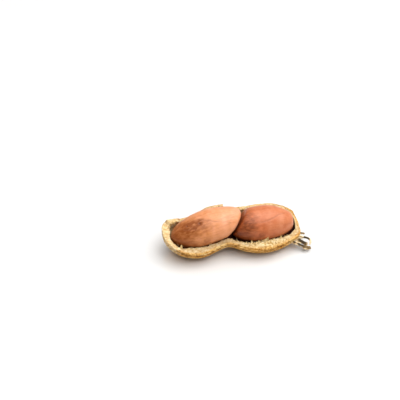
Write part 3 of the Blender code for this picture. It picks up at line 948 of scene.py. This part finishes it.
def rawKernelSkin(name, light, middle, dark, stainedAndShaded):
    # raw seed skin: thin papery testa over a firm seed, satin, with fine veins running from end to end
    material, tree = newMaterial(name)
    place = addNode(tree, "ShaderNodeAttribute", {"attribute_name": "skinPlace"}).outputs["Vector"]
    stain = addNode(tree, "ShaderNodeAttribute", {"attribute_name": "stain"}).outputs["Fac"]
    groove = addNode(tree, "ShaderNodeAttribute", {"attribute_name": "groove"}).outputs["Fac"]
    blush = addNode(tree, "ShaderNodeAttribute", {"attribute_name": "blush"}).outputs["Fac"]
    along = addNode(tree, "ShaderNodeMapping", {"Scale": (0.12, 1.0, 1.0)}, {"Vector": place}).outputs[0]
    mottle = addNode(
        tree, "ShaderNodeTexNoise", {"Scale": 1 / (2.6 * mm), "Detail": 5.0, "Roughness": 0.6}, {"Vector": place}
    )
    # painted light: the painted gradient lifts the skin towards its light stop on the upper right
    paintedLightShare = addNode(tree, "ShaderNodeMath", {"operation": "MULTIPLY_ADD", 1: 0.38, 2: 0.015}, {0: blush})
    toned = addNode(
        tree, "ShaderNodeMath", {"operation": "MULTIPLY_ADD", 1: 0.55}, {0: mottle.outputs["Fac"], 2: paintedLightShare.outputs[0]}
    )
    vein = addNode(
        tree, "ShaderNodeTexNoise", {"Scale": 1 / (0.55 * mm), "Detail": 3.0, "Distortion": 0.3}, {"Vector": along}
    )
    ground = addNode(
        tree, "ShaderNodeValToRGB", {"stops": ((0.3, dark), (0.5, middle), (0.72, light))},
        {"Fac": toned.outputs[0]},
    )
    veinTone = addNode(
        tree, "ShaderNodeValToRGB", {"stops": ((0.36, "C08E70"), (0.5, "FFFFFF"))}, {"Fac": vein.outputs["Fac"]}
    )
    veined = addNode(
        tree, "ShaderNodeMix", {"data_type": "RGBA", "blend_type": "MULTIPLY", 0: 0.22},
        {6: ground.outputs["Color"], 7: veinTone.outputs["Color"]},
    )
    drawn = addNode(tree, "ShaderNodeMapping", {"Scale": (0.45, 1.0, 1.0)}, {"Vector": place}).outputs[0]
    patchNoise = addNode(tree, "ShaderNodeTexNoise", {"Scale": 1 / (0.6 * mm), "Detail": 5.0}, {"Vector": drawn})
    # the stains mix in the skin's brown patches and the painted shade at the left ends
    patch = addNode(tree, "ShaderNodeMath", {"operation": "MULTIPLY"}, {0: stain, 1: patchNoise.outputs["Fac"]})
    patchShare = addNode(
        tree, "ShaderNodeMapRange", {"From Min": 0.12, "From Max": 0.5}, {"Value": patch.outputs[0]}
    )
    stainedAndShadedSkin = addNode(
        tree, "ShaderNodeMix", {"data_type": "RGBA", 7: linear(stainedAndShaded)},
        {0: patchShare.outputs[0], 6: veined.outputs[2]},
    )
    # painted shade in the creases, and the dark dots, mixed in by groove
    creaseShadeAndDots = addNode(
        tree, "ShaderNodeMix", {"data_type": "RGBA", 7: linear("6A361A")}, {0: groove, 6: stainedAndShadedSkin.outputs[2]}
    )
    bumpHeight = addNode(
        tree, "ShaderNodeMath", {"operation": "MULTIPLY_ADD", 1: 0.5},
        {0: vein.outputs["Fac"], 2: patchNoise.outputs["Fac"]},
    )
    bump = addNode(
        tree, "ShaderNodeBump", {"Strength": 0.3, "Distance": 0.1 * mm}, {"Height": bumpHeight.outputs[0]}
    )
    shader = addNode(
        tree, "ShaderNodeBsdfPrincipled",
        {"Roughness": 0.42, "IOR": 1.5, "Specular IOR Level": 0.32},
        {"Base Color": creaseShadeAndDots.outputs[2], "Normal": bump.outputs[0]},
    )
    addNode(tree, "ShaderNodeOutputMaterial", None, {"Surface": shader.outputs[0]})
    return material


def dryStalk():
    # dry stalk fibre: dark woody bark, cream and stringy where it is torn, and cream in the painted highlight on the
    # strands' sides
    material, tree = newMaterial("dryStalk")
    place = addNode(tree, "ShaderNodeTexCoord").outputs["Object"]
    bark = addNode(tree, "ShaderNodeAttribute", {"attribute_name": "bark"}).outputs["Fac"]
    patch = addNode(tree, "ShaderNodeTexNoise", {"Scale": 1 / (0.6 * mm), "Detail": 4.0}, {"Vector": place})
    uneven = addNode(
        tree, "ShaderNodeMath", {"operation": "MULTIPLY_ADD", 1: 0.7, 2: -0.35}, {0: patch.outputs["Fac"]}
    )
    level = addNode(tree, "ShaderNodeMath", {"operation": "ADD"}, {0: bark, 1: uneven.outputs[0]})
    tone = addNode(
        tree, "ShaderNodeValToRGB",
        {"stops": ((0.08, "EAD7B0"), (0.3, "C9A97A"), (0.5, "80663C"), (0.75, "3A2C12"))},
        {"Fac": level.outputs[0]},
    )
    bump = addNode(
        tree, "ShaderNodeBump", {"Strength": 0.6, "Distance": 0.15 * mm}, {"Height": patch.outputs["Fac"]}
    )
    shader = addNode(
        tree, "ShaderNodeBsdfPrincipled", {"Roughness": 0.75, "IOR": 1.45},
        {"Base Color": tone.outputs["Color"], "Normal": bump.outputs[0]},
    )
    addNode(tree, "ShaderNodeOutputMaterial", None, {"Surface": shader.outputs[0]})
    return material


def glossyBoard():
    # white glossy acrylic board: bright, with a faint mirror image of what stands on it
    material, tree = newMaterial("glossyBoard")
    shader = addNode(
        tree, "ShaderNodeBsdfPrincipled",
        {"Base Color": linear("E0E0E0"), "Roughness": 0.1, "IOR": 2.0},
    )
    addNode(tree, "ShaderNodeOutputMaterial", None, {"Surface": shader.outputs[0]})
    return material


huskFinish = driedPodHusk()
for piece in (podHalf, rimShreds, rimFibres):
    piece.data.materials.clear()
    piece.data.materials.append(huskFinish)
kernels["kernelLeft"].data.materials.append(rawKernelSkin("paleKernelSkin", "E6A07A", "D08650", "904816", "884410"))
kernels["kernelRight"].data.materials.append(rawKernelSkin("redKernelSkin", "D08660", "BE683C", "7C340C", "6A2E06"))
stalkFinish = dryStalk()
for strand in stalkStrands:
    strand.data.materials.clear()
    strand.data.materials.append(stalkFinish)
print("finishes set")


# The studio: pale glossy floor, soft light from above and behind, fill from the front
studio = {
    "boardSize": 3.0,
    "worldColour": (1.0, 0.95, 0.9, 1.0),
    "worldStrength": 0.26,
    "lights": (
        ("softRight", (0.50, 0.10, 0.88), 1.2, 9.0),
        ("softTop", (-0.05, 0.10, 1.0), 1.7, 8.4),
        ("softFront", (0.15, -0.55, 0.95), 0.8, 5.5),
    ),
}


def addStudio():
    deselectAll()
    bpy.ops.mesh.primitive_plane_add(size=studio["boardSize"], location=(0, 0, 0))
    board = bpy.context.active_object
    board.name = "whiteBoard"
    board.data.materials.append(glossyBoard())
    world = bpy.data.worlds.new("studioAir")
    world.use_nodes = True
    air = world.node_tree.nodes["Background"]
    air.inputs["Color"].default_value = studio["worldColour"]
    air.inputs["Strength"].default_value = studio["worldStrength"]
    bpy.context.scene.world = world
    for name, place, size, power in studio["lights"]:
        lamp = bpy.data.lights.new(name, "AREA")
        lamp.shape = "DISK"
        lamp.size = size
        lamp.energy = power
        light = bpy.data.objects.new(name, lamp)
        light.location = place
        light.rotation_euler = (-Vector(place)).to_track_quat("-Z", "Y").to_euler()
        bpy.context.scene.collection.objects.link(light)
    bpy.context.scene.view_settings.view_transform = "Standard"


addStudio()

# The camera: the photograph is 400 pixels wide, and the pod's middle is at podPixel
shot = {
    "azimuth": math.radians(-9.5),
    "elevation": math.radians(40.0),
    "distance": 303.0 * mm,
    "pixelSize": 0.273 * mm,
    "imageWidth": 400,
    "podPixel": (231, 230),
}


def addCamera():
    a = shot["azimuth"]
    e = shot["elevation"]
    right = Vector((math.cos(a), math.sin(a), 0.0))
    back = Vector((math.sin(a) * math.cos(e), -math.cos(a) * math.cos(e), math.sin(e)))
    up = back.cross(right)
    half = shot["imageWidth"] / 2
    aim = podLie["at"] + right * (half - shot["podPixel"][0]) * shot["pixelSize"]
    aim += up * (shot["podPixel"][1] - half) * shot["pixelSize"]
    camera = bpy.data.objects.new("camera", bpy.data.cameras.new("camera"))
    camera.data.sensor_width = 36.0
    camera.data.lens = 36.0 * shot["distance"] / (shot["pixelSize"] * shot["imageWidth"])
    camera.data.clip_start = 0.01
    camera.location = aim + back * shot["distance"]
    camera.rotation_euler = (math.radians(90.0) - e, 0.0, a)
    bpy.context.scene.collection.objects.link(camera)
    bpy.context.scene.camera = camera


addCamera()
print("studio and camera set")
